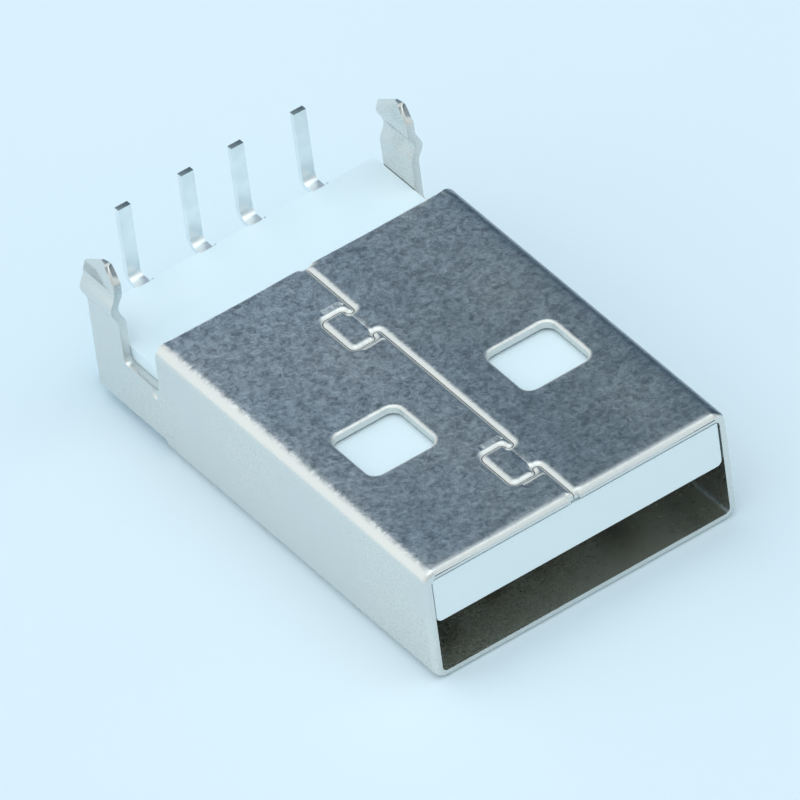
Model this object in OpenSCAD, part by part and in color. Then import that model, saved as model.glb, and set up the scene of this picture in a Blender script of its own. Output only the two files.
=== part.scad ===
// USB-A plug for a circuit board, lying with its seam side up.
// A folded steel shell holds a moulded insulator, which carries four stamped contacts.
// The mating opening faces -Y, the solder pins and the board-lock legs point up at the rear.

/* [Shell] */
// Outer width across the side walls
shell_w = 12; // [11.5:0.1:14]
// Outer height from the lower wall to the upper wall
shell_h = 4.5; // [4.3:0.1:5.5]
// Length of the closed tube
shell_len = 14.95; // [14:0.05:18]
// Thickness of the sheet
sheet_t = 0.3; // [0.2:0.05:0.35]
// Inside radius of the four long bends
bend_r = 0.2; // [0.1:0.05:0.3]
// Radius of the rounded outer edge at the mating opening
front_round = 0.2; // [0.05:0.01:0.25]

/* [Seam] */
// Gap between the two edges that meet at the seam
seam_gap = 0.03; // [0.03:0.01:0.1]
// Width of the rolled-in edges of the seam at the outer face
seam_roll_w = 0.15; // [0.11:0.01:0.2]
// Depth of the rolled-in edges of the seam
seam_roll_d = 0.05; // [0.02:0.01:0.1]
// Reach of each locking tab across the seam
tab_reach = 1.24; // [1:0.02:1.6]
// Size of each locking tab along the seam
tab_h = 1.88; // [1.5:0.02:2.4]
// Width of the hooks that hold each tab by its neck
hook_w = 0.3; // [0.24:0.01:0.4]
// Corner radius of the tab on its free side
tab_r = 0.26; // [0.15:0.01:0.35]
// Middle of the front tab behind the opening
tab_front_y = 2.62; // [2.2:0.02:3]
// Middle of the rear tab ahead of the shell's rear edge
tab_rear_y = 3.52; // [2.2:0.02:5]
// Radius of the sheet's corners at both ends of the seam
seam_end_r = 0.08; // [0.05:0.01:0.3]
// Distance of the stake marks from the ends of a tab
stake_off = 0.3; // [0.22:0.02:0.4]
// Distance of the stake marks from the seam
stake_x = 0.14; // [0.12:0.02:0.4]
// Length of a stake mark
stake_len = 0.84; // [0.6:0.02:1]
// Depth of a stake mark
stake_d = 0.06; // [0.03:0.01:0.1]

/* [Windows] */
// Width of a latch window
window_w = 2.65; // [2.2:0.05:3]
// Length of a latch window
window_l = 2.5; // [1.9:0.05:2.8]
// Corner radius of a latch window
window_r = 0.4; // [0.2:0.05:0.6]
// Middle of each window from the centre line
window_x = 3.06; // [2.9:0.02:3.4]
// Middle of the windows behind the opening
window_y = 6.25; // [6:0.05:7]

/* [Side strips and board-lock legs] */
// Reach of the side strips behind the shell
strip_len = 3.8; // [3.2:0.05:5]
// Height of the strip's lower edge above the lower wall's outer face
strip_z = 0.55; // [0.5:0.05:0.9]
// Height of the strips
strip_h = 2; // [1.6:0.05:2.6]
// Width of a leg
leg_w = 1.78; // [1.4:0.02:2.2]
// Height of the legs' tips
leg_top = 6.48; // [6:0.02:8]
// Width of the flat tip of a leg
tip_w = 0.26; // [0.2:0.02:0.6]
// Distance of the tip behind the leg's front edge
tip_set = 0.42; // [0.3:0.02:0.6]
// Height of the tip's slanted front edge
tip_front_h = 0.65; // [0.5:0.05:1]
// Height of the tip's slanted rear edge
tip_rear_h = 0.7; // [0.5:0.05:1.1]
// Radius in the corners of the strip and the leg
leg_fillet = 0.25; // [0.1:0.05:0.4]
// Height of the bulge that wedges a leg in its hole
kink_z = 4.8; // [4.4:0.05:5.2]
// How far the bulge stands out
kink_out = 0.22; // [0.1:0.02:0.3]
// Height over which the bulge swells and fades
kink_span = 1.3; // [0.9:0.05:1.6]
// Diameter of the coined dimple that keys the insulator
dimple_d = 0.4; // [0.3:0.05:0.5]
// Middle of the dimple behind the shell's rear edge
dimple_y = 0.35; // [0.25:0.05:0.6]
// Middle of the dimple below the strip's upper edge
dimple_drop = 0.25; // [0.25:0.05:0.6]
// Depth of that dimple
dimple_depth = 0.1; // [0.05:0.01:0.15]

/* [Insulator] */
// Thickness of the tongue
tongue_t = 1.75; // [1.5:0.05:2]
// Distance of the tongue's front face behind the opening
tongue_set = 0.05; // [0.02:0.01:0.5]
// Gap between the tongue and each side wall
tongue_side = 0.06; // [0.04:0.01:0.4]
// Gap between the insulator and the upper wall
top_gap = 0.1; // [0.03:0.01:0.15]
// Gap between the insulator's body and the shell's other walls
body_gap = 0.02; // [0.02:0.01:0.1]
// Radius of the tongue's lower side edges
tongue_r = 0.2; // [0.1:0.05:0.4]
// Depth of the mating cavity
cavity_len = 11.8; // [11:0.1:12.5]
// Reach of the insulator's block behind the shell
block_len = 4.45; // [3.8:0.05:5.5]
// Height of the block's upper face
block_top = 3.1; // [2.9:0.05:3.6]
// Chamfer of the moulding's outer edges
mould_chamfer = 0.15; // [0.05:0.01:0.25]
// Depth of the relief in the block at each contact's exit
exit_set = 0.22; // [0.1:0.02:0.4]
// Room beside and below a contact in that relief
exit_side = 0.08; // [0.05:0.01:0.2]

/* [Contacts] */
// Thickness of the contact strip
contact_t = 0.22; // [0.15:0.01:0.3]
// Width of a contact under the tongue
pad_w = 1; // [0.8:0.05:1.2]
// Width of a contact's tail and pin
tail_w = 0.5; // [0.4:0.05:0.7]
// Distance between the two middle contacts
pitch_mid = 2; // [1.9:0.05:2.4]
// Distance from a middle contact to an outer one
pitch_side = 2.5; // [2.3:0.05:2.7]
// Start of the outer contacts behind the opening
pad_start = 2.2; // [1.5:0.05:3]
// How much farther back the middle contacts start
pad_stagger = 1; // [0.5:0.05:1.5]
// Length of a contact's tip above the bend that buries it in the tongue
tip_len = 0.15; // [0.05:0.05:0.4]
// How far the contacts stand proud of the tongue
pad_proud = 0.1; // [0.02:0.02:0.12]
// Length of the slope that lifts a contact to its tail
jog_len = 0.9; // [0.6:0.05:1.2]
// Depth of the tail's upper side below the block's upper face
tail_cover = 0.15; // [0.05:0.01:0.3]
// Gap between the block and a pin
pin_set = 0.47; // [0.35:0.01:0.8]
// Inside radius of the bend below a pin
pin_bend = 0.25; // [0.15:0.01:0.3]
// Height of the pins' ends
pin_top = 5.9; // [5.2:0.05:7]
// Clearance between a contact and the moulding around it
fit_gap = 0.06; // [0.03:0.01:0.08]

/* [Hidden] */
$fn = 48;
// Overlap that makes a cut pass cleanly through a face
cut = 0.2;

steel_c = "#8b98a3";
plastic_c = "#dbe6ea";
contact_c = "#c9d0d3";

// The shell's inner faces, and the radius outside its bends
inner_x = shell_w / 2 - sheet_t;
inner_top = shell_h - sheet_t;
outer_r = bend_r + sheet_t;

// The middles of the two locking tabs
tab_y = [tab_front_y, shell_len - tab_rear_y];

// The insulator's faces
mould_top = inner_top - top_gap;
mould_bottom = sheet_t + body_gap;
tongue_bottom = mould_top - tongue_t;
tongue_x = inner_x - tongue_side;
body_x = inner_x - body_gap;
block_rear = shell_len + block_len;

// The middle of a contact's thickness under the tongue, in its tail and in its pin
pad_z = tongue_bottom - pad_proud + contact_t / 2;
tail_z = block_top - tail_cover - contact_t / 2;
pin_y = block_rear + pin_set + contact_t / 2;
pin_mid_r = pin_bend + contact_t / 2;
jog_y = cavity_len + jog_len / 2;

// Each contact's place across the plug, and where it starts
contact_x = [-pitch_mid / 2 - pitch_side, -pitch_mid / 2, pitch_mid / 2, pitch_mid / 2 + pitch_side];
contact_start = [pad_start, pad_start + pad_stagger, pad_start + pad_stagger, pad_start];

// The whole plug's length, which sets the origin below its middle
overall_len = pin_y + contact_t / 2;

// ---- Flat helpers ----

// A rectangle about the origin with round corners
module rounded(w, h, r) {
    square([w - 2 * r, h], center = true);
    square([w, h - 2 * r], center = true);
    for (x = [-1, 1], y = [-1, 1])
        translate([x * (w / 2 - r), y * (h / 2 - r)]) circle(r);
}

// A straight band of width w from point a to point b
module line_band(a, b, w) {
    d = b - a;
    translate(a) rotate(atan2(d[1], d[0])) translate([0, -w / 2]) square([norm(d), w]);
}

// A quarter of a ring: radius r to the middle of the band, width w, turned by a
module quarter_band(centre, r, a, w) {
    translate(centre) rotate(a) intersection() {
        difference() {
            circle(r + w / 2);
            circle(r - w / 2);
        }
        square(r + w);
    }
}

// ---- Placing helpers ----

// Stands a flat shape drawn in X and Z upright, and gives it a length along Y
module along_y(from, to) {
    translate([0, to, 0]) rotate([90, 0, 0]) linear_extrude(to - from) children();
}

// Stands a flat shape drawn in Y and Z upright, and gives it a width along X
module along_x(from, to) {
    translate([from, 0, 0]) rotate([90, 0, 90]) linear_extrude(to - from) children();
}

// Puts the origin below the middle of the whole plug
module placed() {
    translate([0, -overall_len / 2, 0]) children();
}

// ---- Shell ----

// The folded tube's section
module tube_section() {
    translate([0, shell_h / 2]) difference() {
        rounded(shell_w, shell_h, outer_r);
        rounded(shell_w - 2 * sheet_t, shell_h - 2 * sheet_t, bend_r);
    }
}

// Half of the seam round one tab, from its middle towards +Y, as a band of width w
module half_tab_band(w) {
    end = tab_h / 2;
    hook_r = hook_w / 2;
    line_band([-tab_reach, 0], [-tab_reach, end - tab_r], w);
    quarter_band([-tab_reach + tab_r, end - tab_r], tab_r, 90, w);
    line_band([-tab_reach + tab_r, end], [-hook_w - hook_r, end], w);
    quarter_band([-hook_w - hook_r, end - hook_r], hook_r, 0, w);
    quarter_band([-hook_r, end - hook_r], hook_r, 180, w);
    quarter_band([-hook_r, end - hook_r], hook_r, 270, w);
}

// The whole seam as a band of width w
module seam_band(w) {
    end = tab_h / 2 - hook_w / 2;
    line_band([0, -cut], [0, tab_y[0] - end], w);
    line_band([0, tab_y[0] + end], [0, tab_y[1] - end], w);
    line_band([0, tab_y[1] + end], [0, shell_len + cut], w);
    for (y = tab_y) translate([0, y]) {
        half_tab_band(w);
        mirror([0, 1]) half_tab_band(w);
    }
}

// Cuts the seam through the upper wall and rolls its edges in
module seam_cut() {
    translate([0, 0, inner_top - cut]) linear_extrude(sheet_t + 2 * cut) seam_band(seam_gap);
    translate([0, 0, shell_h - seam_roll_d]) linear_extrude(cut) seam_band(seam_roll_w);
    translate([0, 0, inner_top - cut]) linear_extrude(sheet_t + 2 * cut)
        for (side = [0, 1]) mirror([side, 0]) translate([seam_gap / 2, 0]) {
            round_corner(seam_end_r);
            translate([0, shell_len]) mirror([0, 1]) round_corner(seam_end_r);
        }
}

// Shallow grooves punched beside both ends of each tab, which spread the metal against it
module stake_marks() {
    groove_r = 3 * stake_d;
    for (y = tab_y, side = [-1, 1])
        translate([-stake_x - stake_len, y + side * (tab_h / 2 + stake_off), shell_h + groove_r - stake_d])
            rotate([0, 90, 0]) cylinder(h = stake_len, r = groove_r);
}

// A shallow line across each tab's neck, from hook to hook
module neck_marks() {
    end = tab_h / 2 - hook_w;
    for (y = tab_y)
        translate([0, y, shell_h - seam_roll_d / 2])
            linear_extrude(cut) line_band([-hook_w, -end], [-hook_w, end], seam_roll_w / 2);
}

// The two latch windows, through the upper and the lower wall
module window_cuts() {
    for (side = [-1, 1], z = [0, shell_h - sheet_t])
        translate([side * window_x, window_y, z - cut])
            linear_extrude(sheet_t + 2 * cut) rounded(window_w, window_l, window_r);
}

// The corner left of a square after a quarter circle of radius r is taken from it
module round_corner(r) {
    difference() {
        translate([-cut, -cut]) square(r + cut);
        translate([r, r]) circle(r);
    }
}

// Takes the sharp edge off the outside of the mating opening
module front_rounding() {
    bend_x = shell_w / 2 - outer_r;
    bend_z = shell_h / 2 - outer_r;
    translate([0, 0, shell_h / 2]) {
        for (turn = [0, 180]) rotate([0, turn, 0]) {
            translate([0, 0, -shell_h / 2]) along_x(-bend_x, bend_x) round_corner(front_round);
            translate([shell_w / 2, 0, -bend_z]) rotate([0, 0, 90])
                linear_extrude(2 * bend_z) round_corner(front_round);
            translate([bend_x, 0, -bend_z]) bend_rounding();
            translate([-bend_x, 0, -bend_z]) rotate([0, 90, 0]) bend_rounding();
        }
    }
}

// The same rounding, carried round the outside of one bend
module bend_rounding() {
    rotate([-90, 0, 0]) rotate_extrude(angle = 90)
        translate([outer_r, 0]) mirror([1, 0]) round_corner(front_round);
}

// A leg's and a strip's outline, seen from the side
module side_outline() {
    rear = shell_len + strip_len;
    front = rear - leg_w;
    top = strip_z + strip_h;
    overlap = outer_r;
    difference() {
        union() {
            translate([shell_len - overlap, strip_z]) square([rear - shell_len + overlap, strip_h]);
            polygon([
                [front, strip_z], [rear, strip_z], [rear, leg_top - tip_rear_h],
                [front + tip_set + tip_w, leg_top], [front + tip_set, leg_top],
                [front, leg_top - tip_front_h]
            ]);
            translate([front - leg_fillet, top]) square(leg_fillet);
            translate([shell_len, top]) square(leg_fillet);
        }
        translate([front - leg_fillet, top + leg_fillet]) circle(leg_fillet);
        translate([shell_len + leg_fillet, top + leg_fillet]) circle(leg_fillet);
    }
}

// How far the sheet stands out of its own plane at height z
function bulge(z) = abs(z - kink_z) > kink_span / 2 ? 0
    : kink_out * (1 + cos(360 * (z - kink_z) / kink_span)) / 2;

// The side wall's section behind the shell, with the bulge that wedges in the board
module strip_section() {
    steps = 16;
    low = kink_z - kink_span / 2;
    rows = [0, for (i = [0:steps]) low + i * kink_span / steps, leg_top + cut];
    outer = [for (z = rows) [shell_w / 2 + bulge(z), z]];
    inner = [for (i = [len(rows) - 1:-1:0]) [inner_x + bulge(rows[i]), rows[i]]];
    polygon(concat(outer, inner));
}

// The strip behind the +X side wall with its board-lock leg
module side_strip() {
    rear = shell_len + strip_len;
    intersection() {
        along_x(inner_x - cut, shell_w / 2 + kink_out + cut) side_outline();
        along_y(shell_len - outer_r - cut, rear + cut) strip_section();
    }
}

// Dimples pressed into the side walls, which key the insulator
module dimples() {
    r = (pow(dimple_d / 2, 2) + pow(dimple_depth, 2)) / (2 * dimple_depth);
    z = strip_z + strip_h - dimple_drop;
    for (side = [-1, 1])
        translate([side * (shell_w / 2 + r - dimple_depth), shell_len + dimple_y, z]) sphere(r);
}

module shell() {
    color(steel_c) difference() {
        union() {
            along_y(0, shell_len) tube_section();
            side_strip();
            mirror([1, 0, 0]) side_strip();
        }
        seam_cut();
        stake_marks();
        neck_marks();
        window_cuts();
        front_rounding();
        dimples();
    }
}

// ---- Contacts ----

// A contact's path under the tongue, seen from the side, as a band of width w.
// Its tip turns up into the tongue, and reaches tip_h above the bend.
module pad_band(start, w, tip_h) {
    tip_y = start + contact_t / 2;
    bend = [tip_y + pin_mid_r, pad_z + pin_mid_r];
    line_band([tip_y, bend[1]], [tip_y, bend[1] + tip_h], w);
    quarter_band(bend, pin_mid_r, 180, w);
    line_band([bend[0], pad_z], [jog_y, pad_z], w);
    translate([jog_y, pad_z]) circle(w / 2);
}

// The tail's path from the body of the insulator to the end of the pin, as a band of width w
module tail_band(w) {
    jog_end = [jog_y + jog_len, tail_z];
    line_band([jog_y, pad_z], jog_end, w);
    for (p = [[jog_y, pad_z], jog_end]) translate(p) circle(w / 2);
    line_band(jog_end, [pin_y - pin_mid_r, tail_z], w);
    quarter_band([pin_y - pin_mid_r, tail_z + pin_mid_r], pin_mid_r, 270, w);
    line_band([pin_y, tail_z + pin_mid_r], [pin_y, pin_top], w);
}

// One stamped contact, or the room for it where grow is the clearance on each side
module contact_form(i, grow = 0) {
    translate([contact_x[i], 0, 0]) {
        along_x(-pad_w / 2 - grow, pad_w / 2 + grow)
            pad_band(contact_start[i], contact_t + 2 * grow, tip_len + grow);
        along_x(-tail_w / 2 - grow, tail_w / 2 + grow) tail_band(contact_t + 2 * grow);
    }
}

module contact(i) {
    color(contact_c) contact_form(i);
}

// ---- Insulator ----

// The tongue's section: square above, round below
module tongue_section() {
    translate([0, mould_top - tongue_t / 2]) rounded(2 * tongue_x, tongue_t, tongue_r);
    translate([-tongue_x, mould_top - tongue_t / 2]) square([2 * tongue_x, tongue_t / 2]);
}

// The section that fills the shell behind the cavity
module body_section() {
    h = mould_top - mould_bottom;
    translate([0, mould_bottom + h / 2]) rounded(2 * body_x, h, bend_r);
}

// The block's outline seen from the side, with its upper rear edge taken off
module block_outline() {
    c = mould_chamfer;
    polygon([
        [shell_len, mould_bottom], [block_rear, mould_bottom], [block_rear, block_top - c],
        [block_rear - c, block_top], [shell_len, block_top]
    ]);
}

// The open reliefs at the block's rear edge, where the contacts come out
module exit_cuts() {
    low = tail_z - contact_t / 2 - exit_side;
    for (x = contact_x)
        translate([x - tail_w / 2 - exit_side, block_rear - exit_set, low])
            cube([tail_w + 2 * exit_side, exit_set + cut, block_top - low + cut]);
}

module insulator() {
    color(plastic_c) difference() {
        union() {
            along_y(tongue_set, cavity_len + cut) tongue_section();
            along_y(cavity_len, shell_len) body_section();
            along_x(-body_x, body_x) block_outline();
        }
        for (i = [0:3]) contact_form(i, fit_gap);
        exit_cuts();
    }
}

// ---- The plug ----

placed() shell();
placed() insulator();
placed() contact(0);  // contact_1
placed() contact(1);  // contact_2
placed() contact(2);  // contact_3
placed() contact(3);  // contact_4
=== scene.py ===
import math

import bmesh
import bpy
import numpy as np
from mathutils import Matrix, Vector
from mathutils.geometry import delaunay_2d_cdt


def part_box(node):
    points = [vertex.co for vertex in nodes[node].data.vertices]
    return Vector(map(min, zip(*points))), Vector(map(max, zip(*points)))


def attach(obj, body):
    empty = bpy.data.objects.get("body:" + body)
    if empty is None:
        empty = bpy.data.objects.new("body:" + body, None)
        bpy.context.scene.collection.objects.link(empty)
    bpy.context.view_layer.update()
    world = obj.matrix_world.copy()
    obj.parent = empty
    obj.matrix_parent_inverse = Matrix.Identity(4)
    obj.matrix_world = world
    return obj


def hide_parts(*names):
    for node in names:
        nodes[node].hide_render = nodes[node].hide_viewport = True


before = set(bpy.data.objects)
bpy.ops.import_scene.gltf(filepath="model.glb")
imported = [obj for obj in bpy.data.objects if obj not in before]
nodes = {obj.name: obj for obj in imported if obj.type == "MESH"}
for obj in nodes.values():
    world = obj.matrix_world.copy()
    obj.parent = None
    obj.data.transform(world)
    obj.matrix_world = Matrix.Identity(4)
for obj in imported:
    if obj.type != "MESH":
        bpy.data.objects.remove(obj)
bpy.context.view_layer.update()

MM = 0.001
scene = bpy.context.scene
shell_low, shell_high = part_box("shell")
FRONT_Y = shell_low.y / MM

# ---- Camera: angles in degrees, lengths in metres ----

CAM_AZIMUTH, CAM_ELEVATION, CAM_ROLL = -30.425, 40.918, -7.899
CAM_DISTANCE = 0.6514
CAM_LENS_MM = 912.2
CAM_TARGET = Vector((-0.98, -1.64, 3.57)) * MM
CAM_SENSOR_MM = 36
CAM_CLIP = (0.01, 10)


def make_camera():
    azimuth, elevation, roll = map(math.radians, (CAM_AZIMUTH, CAM_ELEVATION, CAM_ROLL))
    back = Vector((
        math.sin(azimuth) * math.cos(elevation),
        -math.cos(azimuth) * math.cos(elevation),
        math.sin(elevation),
    ))
    level = Vector((math.cos(azimuth), math.sin(azimuth), 0))
    upright = back.cross(level)
    right = math.cos(roll) * level + math.sin(roll) * upright
    data = bpy.data.cameras.new("camera")
    data.lens = CAM_LENS_MM
    data.sensor_width = CAM_SENSOR_MM
    data.clip_start, data.clip_end = CAM_CLIP
    camera = bpy.data.objects.new("camera", data)
    turn = Matrix((right, back.cross(right), back)).transposed().to_4x4()
    camera.matrix_world = Matrix.Translation(CAM_TARGET + CAM_DISTANCE * back) @ turn
    scene.collection.objects.link(camera)
    scene.camera = camera


make_camera()


# ---- Node helpers ----

class Tree:
    """Short calls for building a shader tree."""

    def __init__(self, tree):
        self.tree = tree

    def add(self, kind, inputs=None, **props):
        node = self.tree.nodes.new(kind)
        for key, value in props.items():
            setattr(node, key, value)
        for key, value in (inputs or {}).items():
            socket = node.inputs[key]
            if isinstance(value, bpy.types.NodeSocket):
                self.tree.links.new(value, socket)
            else:
                socket.default_value = value
        return node

    def link(self, a, b):
        self.tree.links.new(a, b)

    def position(self):
        return self.add("ShaderNodeTexCoord").outputs["Object"]

    def split(self, vector):
        return self.add("ShaderNodeSeparateXYZ", {"Vector": vector}).outputs

    def facing(self):
        """The surface's direction, by its three parts."""
        return self.split(self.add("ShaderNodeTexCoord").outputs["Normal"])

    def bump(self, height, distance):
        return self.add("ShaderNodeBump", {
            "Height": height, "Strength": 1.0, "Distance": distance}).outputs["Normal"]

    def noise(
        self, vector, size, detail=2.0, roughness=0.5, distortion=0.0,
        offset=(0, 0, 0), stretch=(1, 1, 1),
    ):
        """Noise whose features are about size metres across."""
        mapping = self.add("ShaderNodeMapping", {
            "Vector": vector,
            "Location": offset,
            "Scale": tuple(s / size for s in stretch),
        })
        return self.add("ShaderNodeTexNoise", {
            "Vector": mapping.outputs["Vector"],
            "Scale": 1.0,
            "Detail": detail,
            "Roughness": roughness,
            "Distortion": distortion,
        }).outputs["Fac"]

    def fit(self, value, low, high, to_low=0.0, to_high=1.0, smooth=False):
        node = self.add("ShaderNodeMapRange", {
            "Value": value,
            "From Min": low,
            "From Max": high,
            "To Min": to_low,
            "To Max": to_high,
        }, interpolation_type="SMOOTHSTEP" if smooth else "LINEAR")
        return node.outputs["Result"]

    def math(self, operation, a, b=0.0, clamp=False):
        node = self.tree.nodes.new("ShaderNodeMath")
        node.operation = operation
        node.use_clamp = clamp
        for socket, value in zip(node.inputs, (a, b)):
            if isinstance(value, bpy.types.NodeSocket):
                self.tree.links.new(value, socket)
            else:
                socket.default_value = value
        return node.outputs["Value"]

    def mix(self, factor, a, b):
        node = self.tree.nodes.new("ShaderNodeMix")
        node.data_type = "RGBA"
        for key, value in (("Factor_Float", factor), ("A_Color", a), ("B_Color", b)):
            socket = next(s for s in node.inputs if s.identifier == key)
            if isinstance(value, bpy.types.NodeSocket):
                self.tree.links.new(value, socket)
            else:
                socket.default_value = (*value, 1.0)
        return next(s for s in node.outputs if s.identifier == "Result_Color")


def new_material(name, **values):
    material = bpy.data.materials.new(name)
    material.use_nodes = True
    shader = material.node_tree.nodes["Principled BSDF"]
    for key, value in values.items():
        shader.inputs[key.replace("_", " ")].default_value = value
    return material, Tree(material.node_tree), shader


# ---- Shell sizes in millimetres, with y from the mating opening ----

WALL_TOP = 4.5
FLAT_X = 5.5
SHEET = 0.3
FRONT_ROUND = 0.2
TUBE_LEN = 14.95
TAB_MIDDLES = (2.62, 11.43)
TAB_HALF = 0.94
HOOK = 0.3
WINDOW_Y = (4, 8.5)
WINDOW_MIN_X = 1.5
STAKE_OFF, STAKE_X, STAKE_LEN = 0.3, 0.14, 0.84
STRIP_LEN = 3.8
LEG_WIDTH, LEG_MIDDLE_X = 1.78, 6.0 - SHEET / 2
TIP_SET, TIP_WIDTH, TIP_REAR_HEIGHT = 0.42, 0.26, 0.7


# ---- Materials: colours are linear, feature sizes are in millimetres ----

STEEL_CLEAN = ((0.745, 0.745, 0.715), (0.73, 0.735, 0.72))
# Painted reflection of the room's dark part on the up-facing steel: bright to the back left, dim to the
# front right, with dark spots.
PAINTED_REFLECTION_BRIGHT, PAINTED_REFLECTION_DIM = (1.0, 1.0, 1.0), (0.57, 0.60, 0.595)
PAINTED_REFLECTION_SPOT = (0.11, 0.14, 0.16)
# Painted dark reflection on the bend on the +X side.
PAINTED_BEND_REFLECTION = (0.16, 0.20, 0.23)
# Painted shade on the up-facing steel low inside the cavity.
PAINTED_CAVITY_SHADE = (0.52, 0.47, 0.38)
CLOUD, BLOTCH, GRAIN, FLECK = 5.5, 0.38, 0.2, 0.09
STEEL_RELIEF = 0.010

PLASTIC = ((0.765, 0.90, 0.965), (0.785, 0.915, 0.98))
# Painted shade for the plastic faces that face the front.
PAINTED_FRONT_SHADE = (0.77, 0.86, 0.885)
PLASTIC_CLOUD, PLASTIC_GRAIN = 3.0, 0.12
PLASTIC_RELIEF = 0.003

TIN = ((0.84, 0.88, 0.89), (0.90, 0.94, 0.95))
# Painted dark reflection for the pins' up-facing cut ends.
PAINTED_END_REFLECTION = (0.30, 0.36, 0.37)
CUT_END_Z = (5.6, 5.75)
TIN_CLOUD, TIN_STREAK = 0.8, 0.05
TIN_RELIEF = 0.002


def painted_top_reflection(t, place, cloud, blotch, grain, facing, up):
    """The painted reflection on the up-facing steel: blue-grey and mottled with dark spots, dimmer towards
    the front right corner, darker on the bend on the +X side, with brown painted shade in the cavity.
    """
    spot = t.split(place)
    across = t.math("SUBTRACT", t.math("MULTIPLY", spot["X"], 0.7), t.math("MULTIPLY", spot["Y"], 0.4))
    # the painted reflection dims towards the front right corner, unevenly with the cloud
    drift = t.fit(cloud, 0.3, 0.7, -0.25, 0.25)
    painted_dim_corner = t.math("ADD", t.fit(across, -5 * MM, 6 * MM), drift, clamp=True)
    painted_tint = t.mix(painted_dim_corner, PAINTED_REFLECTION_BRIGHT, PAINTED_REFLECTION_DIM)
    # dark spots mottle the painted reflection
    mottle = t.math(
        "ADD", t.fit(blotch, 0.36, 0.64, 0.0, 0.36), t.fit(grain, 0.38, 0.62, 0.0, 0.36))
    painted_tint = t.mix(mottle, painted_tint, PAINTED_REFLECTION_SPOT)
    # painted dark reflection on the bend on the +X side
    bend = t.math("MULTIPLY", t.fit(facing["X"], 0.08, 0.5, smooth=True), up)
    painted_tint = t.mix(t.math("MULTIPLY", bend, 0.7), painted_tint, PAINTED_BEND_REFLECTION)
    # brown painted shade on the floor low inside the cavity
    return t.mix(t.fit(spot["Z"], 0.5 * MM, 4 * MM, 1, 0), painted_tint, PAINTED_CAVITY_SHADE)


def steel_material():
    """Bright steel strip: clean and smooth on the sides; mottled and darker where it faces up, which is a
    painted reflection of the dark part of the room.
    """
    material, t, shader = new_material("bright_steel", Metallic=1.0)
    place = t.position()
    cloud = t.noise(place, CLOUD * MM, detail=2, offset=(3.1, 0.7, 2.2))
    blotch = t.noise(place, BLOTCH * MM, detail=3, roughness=0.65, distortion=0.8)
    grain = t.noise(place, GRAIN * MM, detail=3, roughness=0.6, distortion=0.6)
    fleck = t.noise(place, FLECK * MM, detail=2, roughness=0.6)
    wear = t.add("ShaderNodeAttribute", attribute_name="wear").outputs["Fac"]
    # how far a spot of the tube faces up, with the bend on the +X side counted in
    facing, spot = t.facing(), t.split(place)
    lean = t.math("ADD", facing["Z"], t.math("MULTIPLY", facing["X"], 0.45))
    below_legs = t.fit(spot["Z"], (WALL_TOP + 0.01) * MM, (WALL_TOP + 0.05) * MM, 1, 0)
    rear = FRONT_Y + TUBE_LEN
    before_rear = t.fit(spot["Y"], (rear + 0.02) * MM, (rear + 0.06) * MM, 1, 0)
    tube = t.math("MULTIPLY", below_legs, before_rear)
    up = t.math("MULTIPLY", t.fit(lean, 0.60, 0.90, smooth=True), tube)
    # the share of painted reflection: all of the up-facing tube, less on the worn edges
    painted_share = t.math("MULTIPLY", up, t.fit(wear, 0.1, 0.7, 1.0, 0.25))
    clean = t.mix(t.fit(cloud, 0.35, 0.65), *STEEL_CLEAN)
    painted_tint = painted_top_reflection(t, place, cloud, blotch, grain, facing, up)
    t.link(t.mix(painted_share, clean, painted_tint), shader.inputs["Base Color"])
    # roughness: uneven all over, and higher on the worn edges
    rough = t.math("ADD", t.fit(fleck, 0.3, 0.7, 0.0, 0.08), t.fit(cloud, 0.3, 0.7, 0.22, 0.30))
    rough = t.math("ADD", rough, t.math("MULTIPLY", wear, 0.14))
    t.link(rough, shader.inputs["Roughness"])
    # the sheared edges scatter light as a matt surface does
    t.link(t.fit(wear, 0.78, 1.0, 1.0, 0.35), shader.inputs["Metallic"])
    relief = t.math("MULTIPLY", grain, t.fit(painted_share, 0.0, 1.0, 0.12, 1.0))
    t.link(t.bump(relief, STEEL_RELIEF * MM), shader.inputs["Normal"])
    return material


def plastic_material():
    """Pale moulded plastic with a fine grain, with painted shade making the faces towards the front, such
    as the tongue's front end, a little greyer.
    """
    material, t, shader = new_material("pale_plastic", Specular_IOR_Level=0.4)
    place = t.position()
    cloud = t.noise(place, PLASTIC_CLOUD * MM, detail=2)
    grain = t.noise(place, PLASTIC_GRAIN * MM, detail=3, roughness=0.6)
    colour = t.mix(t.fit(cloud, 0.35, 0.65), *PLASTIC)
    # painted shade greys the faces that face the front
    colour = t.mix(t.fit(t.facing()["Y"], -0.9, -0.5, 1, 0), colour, PAINTED_FRONT_SHADE)
    t.link(colour, shader.inputs["Base Color"])
    t.link(t.fit(grain, 0.3, 0.7, 0.42, 0.55), shader.inputs["Roughness"])
    t.link(t.bump(grain, PLASTIC_RELIEF * MM), shader.inputs["Normal"])
    return material


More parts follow.
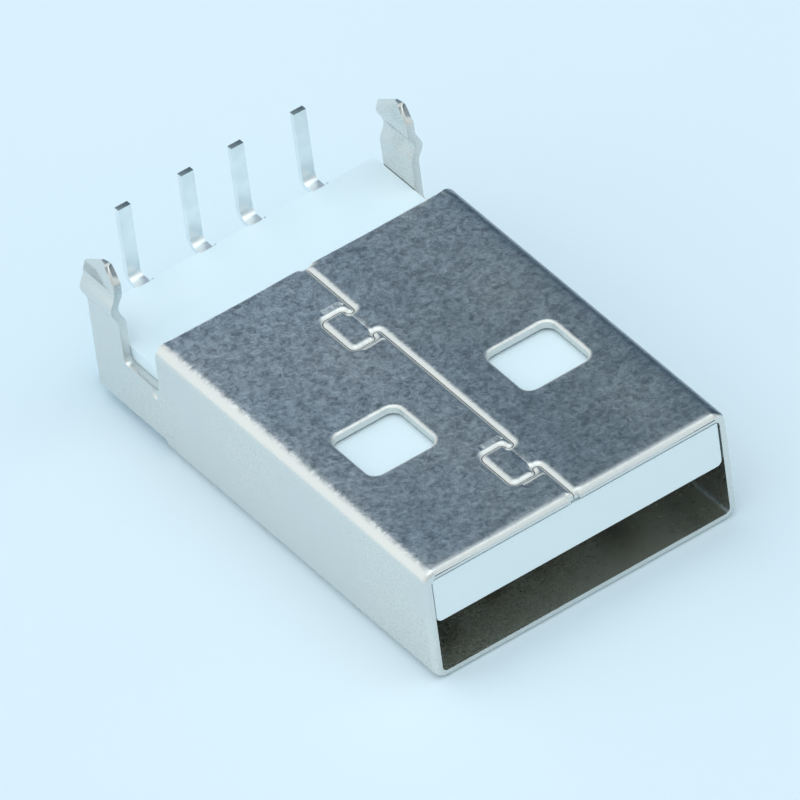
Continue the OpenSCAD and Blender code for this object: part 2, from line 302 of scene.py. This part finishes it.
def contact_material():
    """Tinned strip, drawn along its length, with a painted dark reflection on the pins' cut ends at the
    top.
    """
    material, t, shader = new_material("tinned_contact", Metallic=1.0)
    place = t.position()
    cloud = t.noise(place, TIN_CLOUD * MM, detail=2)
    streak = t.noise(place, TIN_STREAK * MM, detail=2, stretch=(1, 0.15, 0.15))
    tin = t.mix(t.fit(cloud, 0.35, 0.65), *TIN)
    at_end = t.fit(t.split(place)["Z"], CUT_END_Z[0] * MM, CUT_END_Z[1] * MM)
    # painted dark reflection on the up-facing cut ends
    painted_end = t.math("MULTIPLY", t.fit(t.facing()["Z"], 0.6, 0.9), at_end)
    t.link(t.mix(painted_end, tin, PAINTED_END_REFLECTION), shader.inputs["Base Color"])
    t.link(t.fit(streak, 0.3, 0.7, 0.36, 0.46), shader.inputs["Roughness"])
    t.link(t.bump(streak, TIN_RELIEF * MM), shader.inputs["Normal"])
    return material


# ---- Dressed meshes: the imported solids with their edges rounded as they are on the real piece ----

SMOOTH_ANGLE = math.radians(32)
SHARP_ANGLE = math.radians(28)
FLAT_ANGLE = math.radians(0.3)
SAME_POINT = 0.0002 * MM
BEVEL_SEGMENTS = 3
SHELL_BEVEL, INSULATOR_BEVEL, CONTACT_BEVEL = 0.04 * MM, 0.06 * MM, 0.03 * MM

# Rolled-over edges: how wide and how deep each one is
SEAM_LIP = (0.19, 0.08)
WINDOW_LIP = (0.12, 0.045)
REAR_LIP = (0.10, 0.035)

# Stake marks: where the steep side ends, how long the slope away from it is, and the depth
STAKE_NEAR, STAKE_SLOPE, STAKE_DEPTH = STAKE_OFF - 0.11, 0.23, 0.035

# The faint line across the neck of each tab
NECK_X, NECK_HALF_WIDTH, NECK_DEPTH = HOOK - 0.02, 0.06, 0.014

# The sag of the two flaps
SAG = 0.03

# How far below its slanted edge each leg tip is thinned, and by what share
COIN_REACH, COIN_SHARE = 0.26, 0.72
COIN_FROM_Z = WALL_TOP + 0.6

# The tube is cut across at this spacing, so that the bends meet the flaps in short edges
RING_SPACING, RINGS = 0.5, 30

# Distances within which the upper wall's points and edges are told apart
TINY = 0.002
ON_LINE = 0.003
STRAIGHT = 1e-4
UPRIGHT = 0.05
STEP_DEPTH = 0.07
SEAM_MAX_X = 1.6


def cleaned(mesh):
    """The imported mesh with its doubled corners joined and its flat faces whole."""
    bm = bmesh.new()
    bm.from_mesh(mesh)
    bmesh.ops.remove_doubles(bm, verts=bm.verts, dist=SAME_POINT)
    bmesh.ops.dissolve_degenerate(bm, dist=SAME_POINT, edges=bm.edges)
    bmesh.ops.dissolve_limit(bm, angle_limit=FLAT_ANGLE, verts=bm.verts, edges=bm.edges)
    return bm


def round_edges(bm, width, keep=lambda edge: True):
    """Rounds each outward edge sharper than SHARP_ANGLE that keep lets through."""
    edges = [
        e for e in bm.edges
        if len(e.link_faces) == 2 and e.is_convex and e.calc_face_angle(0) > SHARP_ANGLE and keep(e)
    ]
    bmesh.ops.bevel(
        bm, geom=edges, offset=width, offset_type="OFFSET", segments=BEVEL_SEGMENTS,
        profile=0.5, affect="EDGES", clamp_overlap=True,
    )


def finish_piece(bm, name, material):
    for face in bm.faces:
        face.smooth = True
    for edge in bm.edges:
        edge.smooth = not (len(edge.link_faces) == 2 and edge.calc_face_angle(0) > SMOOTH_ANGLE)
    mesh = bpy.data.meshes.new(name)
    bm.to_mesh(mesh)
    bm.free()
    mesh.materials.append(material)
    obj = bpy.data.objects.new(name, mesh)
    scene.collection.objects.link(obj)
    weigh = obj.modifiers.new("normals", "WEIGHTED_NORMAL")
    weigh.keep_sharp = True
    return obj


def segment_distance(points, starts, ends):
    """For each point, its distance to the nearest of the segments."""
    best = np.full(len(points), np.inf)
    for a, b in zip(starts, ends):
        d = b - a
        length = max(float(d @ d), 1e-12)
        t = np.clip((points - a) @ d / length, 0, 1)
        best = np.minimum(best, np.linalg.norm(points - (a + t[:, None] * d), axis=1))
    return best


def inside(points, starts, ends):
    """Whether each point lies inside the closed loops, by counting crossings."""
    odd = np.zeros(len(points), bool)
    x, y = points[:, 0], points[:, 1]
    for (ax, ay), (bx, by) in zip(starts, ends):
        if ay == by:
            continue
        crosses = (ay > y) != (by > y)
        odd ^= crosses & (x < (bx - ax) * (y - ay) / (by - ay) + ax)
    return odd


def lip(distance, size):
    width, depth = size
    return depth * np.clip(1 - distance / width, 0, 1) ** 2


def step(value, low, high):
    t = np.clip((value - low) / (high - low), 0, 1)
    return t * t * (3 - 2 * t)


def grid(x0, x1, nx, y0, y1, ny):
    xs, ys = np.meshgrid(np.linspace(x0, x1, nx), np.linspace(y0, y1, ny))
    return np.column_stack([xs.ravel(), ys.ravel()])


class UpperWall:
    """Rebuilds the upper wall's outer face from its own outline, with a height for every point."""

    def __init__(self, bm):
        self.bm = bm
        self.wear = bm.verts.layers.float.new("wear")
        self.open_up()
        self.sort_edges()
        self.fill()

    def flat(self, vert):
        return np.array([vert.co.x / MM, vert.co.y / MM - FRONT_Y])

    def rebuilt(self, face):
        """Whether a face belongs to the upper wall's outside or to the steps beside its seam."""
        points = [v.co / MM for v in face.verts]
        lowest, highest = min(p.z for p in points), max(p.z for p in points)
        past_flat = any(abs(p.x) > FLAT_X + TINY for p in points)
        past_rear = any(p.y - FRONT_Y > TUBE_LEN + TINY for p in points)
        if past_flat or past_rear or lowest < WALL_TOP - FRONT_ROUND - TINY:
            return False
        in_step = lowest > WALL_TOP - STEP_DEPTH and highest > WALL_TOP - TINY
        return face.normal.z > UPRIGHT or (abs(face.normal.z) < UPRIGHT and in_step)

    def open_up(self):
        """Takes out the faces to be rebuilt and keeps the border that they leave."""
        gone = [f for f in self.bm.faces if self.rebuilt(f)]
        marked = set(gone)
        self.border = [
            (e.verts[0], e.verts[1]) for e in self.bm.edges
            if len(e.link_faces) == 2 and sum(f in marked for f in e.link_faces) == 1
        ]
        bmesh.ops.delete(self.bm, geom=gone, context="FACES")

    def kind(self, p, q):
        """Which part of the outline the edge from p to q lies on."""
        x, y = (p + q) / 2
        if abs(abs(x) - FLAT_X) < ON_LINE and abs(p[0] - q[0]) < STRAIGHT:
            return "plain"
        if y < ON_LINE and abs(p[1] - q[1]) < STRAIGHT:
            return "plain"
        if y > TUBE_LEN - ON_LINE and abs(p[1] - q[1]) < STRAIGHT:
            return "rear"
        if abs(x) > WINDOW_MIN_X and WINDOW_Y[0] < y < WINDOW_Y[1]:
            return "window"
        return "seam" if abs(x) < SEAM_MAX_X else "plain"

    def sort_edges(self):
        groups = {"seam": [], "window": [], "rear": [], "plain": []}
        for a, b in self.border:
            p, q = self.flat(a), self.flat(b)
            if np.linalg.norm(p - q) > 1e-6:
                groups[self.kind(p, q)].append((p, q))
        self.groups = {
            kind: (np.array([p for p, q in pairs]), np.array([q for p, q in pairs]))
            for kind, pairs in groups.items()
        }
        self.starts = np.concatenate([starts for starts, ends in self.groups.values()])
        self.ends = np.concatenate([ends for starts, ends in self.groups.values()])

    def distance(self, points, kind):
        return segment_distance(points, *self.groups[kind])

    def offsets(self, kind, distances, spacing):
        """Points along both sides of one kind of edge, at each distance."""
        found = []
        for a, b in zip(*self.groups[kind]):
            d = b - a
            length = np.linalg.norm(d)
            count = max(1, round(length / spacing))
            normal = np.array([-d[1], d[0]]) / length
            for i in range(count):
                base = a + d * (i + 0.5) / count
                for distance in distances:
                    found.append((*(base + normal * distance), distance))
                    found.append((*(base - normal * distance), distance))
        found = np.array(found)
        gap = segment_distance(found[:, :2], self.starts, self.ends)
        return found[gap > 0.9 * found[:, 2]][:, :2]

    def stake_mark(self, x, away):
        """A chisel mark: steep towards the tab, with a long slope away from it."""
        steep = step(away, STAKE_NEAR - 0.03, STAKE_NEAR)
        slope = 1 - np.clip((away - STAKE_NEAR) / STAKE_SLOPE, 0, 1)
        far_end, near_end = -STAKE_X - STAKE_LEN, -STAKE_X
        ends = step(x, far_end - 0.04, far_end + 0.05) * (1 - step(x, near_end - 0.05, near_end + 0.04))
        return STAKE_DEPTH * steep * slope * ends

    def height(self, p):
        x, y = p[:, 0], p[:, 1]
        depth = lip(self.distance(p, "seam"), SEAM_LIP)
        depth = np.maximum(depth, lip(self.distance(p, "window"), WINDOW_LIP))
        depth += lip(TUBE_LEN - y, REAR_LIP)
        neck_end = TAB_HALF - HOOK
        for middle in TAB_MIDDLES:
            for side in (-1, 1):
                depth = np.maximum(depth, self.stake_mark(x, (y - middle) * side - TAB_HALF))
            across = np.clip(1 - np.abs(x + NECK_X) / NECK_HALF_WIDTH, 0, 1)
            along = 1 - step(np.abs(y - middle), neck_end - 0.05, neck_end + 0.02)
            depth += NECK_DEPTH * across * along
        # each flap sags between its bend and the seam, unevenly along its length
        flap = np.sin(np.pi * np.clip(np.abs(x) / FLAT_X, 0, 1)) ** 2
        depth += SAG * flap * (1 - 0.3 * np.cos(y * 0.9 + 0.6))
        # the rounded edge at the opening
        s = np.clip((FRONT_ROUND - y) / FRONT_ROUND, 0, 1)
        depth += FRONT_ROUND * (1 - np.sqrt(1 - s * s))
        return WALL_TOP - depth

    def polish(self, p):
        """How worn each point is: 1 right at a cut edge, 0 away from them."""
        seam = 1.15 - self.distance(p, "seam") / SEAM_LIP[0]
        window = 1.15 - self.distance(p, "window") / WINDOW_LIP[0]
        front = 1.3 - p[:, 1] / 0.27
        return np.clip(np.maximum(np.maximum(seam, window), front), 0, 1)

    def inner_points(self):
        """Points for the new face: rows along the shaped edges, fine patches, and a coarse grid."""
        extra = [
            self.offsets("seam", (0.03, 0.065, 0.105, 0.15, 0.195, 0.24), 0.055),
            self.offsets("window", (0.035, 0.07, 0.11, 0.15), 0.1),
            self.offsets("rear", (0.03, 0.07, 0.12), 0.25),
            grid(-FLAT_X + 0.25, FLAT_X - 0.25, 43, 0.3, TUBE_LEN - 0.3, 58),
        ]
        for k in range(1, 7):
            y = FRONT_ROUND * (1 - math.sin(math.pi / 2 * (7 - k) / 7))
            extra.append(grid(-FLAT_X + 0.05, FLAT_X - 0.05, 111, y, y, 1))
        stake_end = -STAKE_X - STAKE_LEN - 0.05
        half = TAB_HALF - HOOK + 0.03
        for middle in TAB_MIDDLES:
            for side in (-1, 1):
                a = middle + side * (TAB_HALF + STAKE_OFF - 0.15)
                b = middle + side * (TAB_HALF + STAKE_OFF + 0.13)
                extra.append(grid(stake_end, -STAKE_X + 0.05, 22, a, b, 15))
            extra.append(grid(
                -NECK_X - NECK_HALF_WIDTH, -NECK_X + NECK_HALF_WIDTH, 5, middle - half, middle + half, 24))
        extra = np.concatenate(extra)
        extra = extra[inside(extra, self.starts, self.ends)]
        return extra[segment_distance(extra, self.starts, self.ends) > 0.012]

    def fill(self):
        """Meshes the outline with the inner points, and joins the result to the border."""
        bm = self.bm
        verts = list(dict.fromkeys(v for pair in self.border for v in pair))
        index = {v: i for i, v in enumerate(verts)}
        edges = [(index[a], index[b]) for a, b in self.border]
        outline = np.array([self.flat(v) for v in verts])
        points = [Vector(p) for p in np.concatenate([outline, self.inner_points()])]
        out, _, triangles, sources, _, _ = delaunay_2d_cdt(points, edges, [], 0, 1e-5)
        flat = np.array([tuple(p) for p in out])
        middles = np.array([(flat[t[0]] + flat[t[1]] + flat[t[2]]) / 3 for t in triangles])
        keep = inside(middles, self.starts, self.ends)
        made = []
        for p, z, source in zip(flat, self.height(flat), sources):
            own = [s for s in source if s < len(verts)]
            for s in own:
                verts[s].co.z = z * MM
            made.append(verts[own[0]] if own else bm.verts.new((p[0] * MM, (p[1] + FRONT_Y) * MM, z * MM)))
        for triangle, kept in zip(triangles, keep):
            corners = [made[i] for i in triangle]
            if kept and len(set(corners)) == 3:
                bm.faces.new(corners)
        for vert, value in zip(made, self.polish(flat)):
            vert[self.wear] = value
        bmesh.ops.remove_doubles(bm, verts=bm.verts, dist=0.0005 * MM)
        loose = [v for v in bm.verts if not v.link_faces]
        bmesh.ops.delete(bm, geom=loose, context="VERTS")
        bmesh.ops.recalc_face_normals(bm, faces=bm.faces)


def coin_tips(bm):
    """Thins each board-lock leg towards its slanted upper edge."""
    leg_front = FRONT_Y + TUBE_LEN + STRIP_LEN - LEG_WIDTH
    tip_rear = leg_front + TIP_SET + TIP_WIDTH
    slope = TIP_REAR_HEIGHT / (LEG_WIDTH - TIP_SET - TIP_WIDTH)
    normal = Vector((0, slope, 1)).normalized()
    at = Vector((0, tip_rear, shell_high.z / MM)) - normal * COIN_REACH
    region = [f for f in bm.faces if max(v.co.z for v in f.verts) > COIN_FROM_Z * MM]
    geom = list({e for f in region for e in f.edges}) + list({v for f in region for v in f.verts}) + region
    bmesh.ops.bisect_plane(bm, geom=geom, plane_co=at * MM, plane_no=normal, dist=0.001 * MM)
    for v in bm.verts:
        above = (v.co / MM - at).dot(normal) / COIN_REACH
        if v.co.z >= COIN_FROM_Z * MM and above > 0:
            off = abs(v.co.x) / MM - LEG_MIDDLE_X
            thinned = LEG_MIDDLE_X + off * (1 - COIN_SHARE * min(above, 1))
            v.co.x = math.copysign(thinned, v.co.x) * MM


def away_from_top(edge):
    """Whether an edge lies outside the part of the shell that UpperWall rebuilds."""
    return any(
        v.co.z / MM <= WALL_TOP - SHEET - 0.02
        or abs(v.co.x) / MM >= FLAT_X + 0.01
        or v.co.y / MM - FRONT_Y >= TUBE_LEN + 0.01
        for v in edge.verts
    )


def dress_shell(material):
    bm = cleaned(nodes["shell"].data)
    coin_tips(bm)
    round_edges(bm, SHELL_BEVEL, away_from_top)
    for i in range(1, RINGS):
        geom = list(bm.verts) + list(bm.edges) + list(bm.faces)
        cut = Vector((0, FRONT_Y + RING_SPACING * i, 0)) * MM
        bmesh.ops.bisect_plane(bm, geom=geom, plane_co=cut, plane_no=(0, 1, 0), dist=0.001 * MM)
    UpperWall(bm)
    return finish_piece(bm, "shell_dressed", material)


def dress(node, material, width):
    bm = cleaned(nodes[node].data)
    round_edges(bm, width)
    return finish_piece(bm, f"{node}_dressed", material)


def place(obj, node, slot):
    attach(obj, "root")
    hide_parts(node)


place(dress_shell(steel_material()), "shell", "shell_metal")
place(dress("insulator", plastic_material(), INSULATOR_BEVEL), "insulator", "insulator_plastic")
tin = contact_material()
for i in range(1, 5):
    place(dress(f"contact_{i}", tin, CONTACT_BEVEL), f"contact_{i}", "contact_metal")


# ---- Studio ----

FLOOR_HALF = 0.6
FLOOR = ((0.745, 0.865, 0.945), (0.765, 0.885, 0.955))
ROOM_LIGHT, ROOM_DARK = (0.95, 1.03, 1.05), (0.168, 0.254, 0.345)
ROOM_LEVEL, OVERHEAD_GAIN, LEFT_GAIN, FRONT_LOSS = 0.90, 0.75, 0.20, 0.22


def make_floor():
    material, t, shader = new_material("floor", Roughness=0.7, Specular_IOR_Level=0.2)
    cloud = t.noise(t.position(), 30 * MM, detail=2)
    t.link(t.mix(t.fit(cloud, 0.3, 0.7), *FLOOR), shader.inputs["Base Color"])
    mesh = bpy.data.meshes.new("floor")
    h = FLOOR_HALF
    mesh.from_pydata([(-h, -h, 0), (h, -h, 0), (h, h, 0), (-h, h, 0)], [], [(0, 1, 2, 3)])
    mesh.materials.append(material)
    floor = bpy.data.objects.new("floor", mesh)
    scene.collection.objects.link(floor)


def compass(azimuth, elevation):
    """A direction: azimuth from +Y towards +X, elevation above the floor, both in degrees."""
    a, e = math.radians(azimuth), math.radians(elevation)
    return (math.sin(a) * math.cos(e), math.cos(a) * math.cos(e), math.sin(e))


def make_world():
    """A pale room, darker far on the right, brighter overhead and far on the left, dimmer in front."""
    world = bpy.data.worlds.new("world")
    scene.world = world
    world.use_nodes = True
    t = Tree(world.node_tree)
    background = world.node_tree.nodes["Background"]
    way = t.add("ShaderNodeTexCoord").outputs["Generated"]

    def lobe(azimuth, elevation, inner, outer):
        """1 within inner degrees of a direction, 0 beyond outer degrees."""
        direction = Vector(compass(azimuth, elevation)).normalized()
        dot = t.add("ShaderNodeVectorMath", {0: way, 1: direction}, operation="DOT_PRODUCT")
        near, far = (math.cos(math.radians(angle)) for angle in (inner, outer))
        return t.fit(dot.outputs["Value"], far, near, smooth=True)

    dark = t.math("MAXIMUM", lobe(50, 28, 18, 48), lobe(72, 4, 22, 44))
    overhead = t.math("MULTIPLY", lobe(150, 82, 8, 46), OVERHEAD_GAIN)
    left = t.math("MULTIPLY", lobe(-48, 24, 8, 48), LEFT_GAIN)
    front = t.math("MULTIPLY", lobe(180, 10, 10, 60), FRONT_LOSS)
    gain = t.math("SUBTRACT", t.math("ADD", overhead, left), front)
    t.link(t.mix(dark, ROOM_LIGHT, ROOM_DARK), background.inputs["Color"])
    t.link(t.math("ADD", gain, ROOM_LEVEL), background.inputs["Strength"])


make_floor()
make_world()
scene.view_settings.view_transform = "Standard"
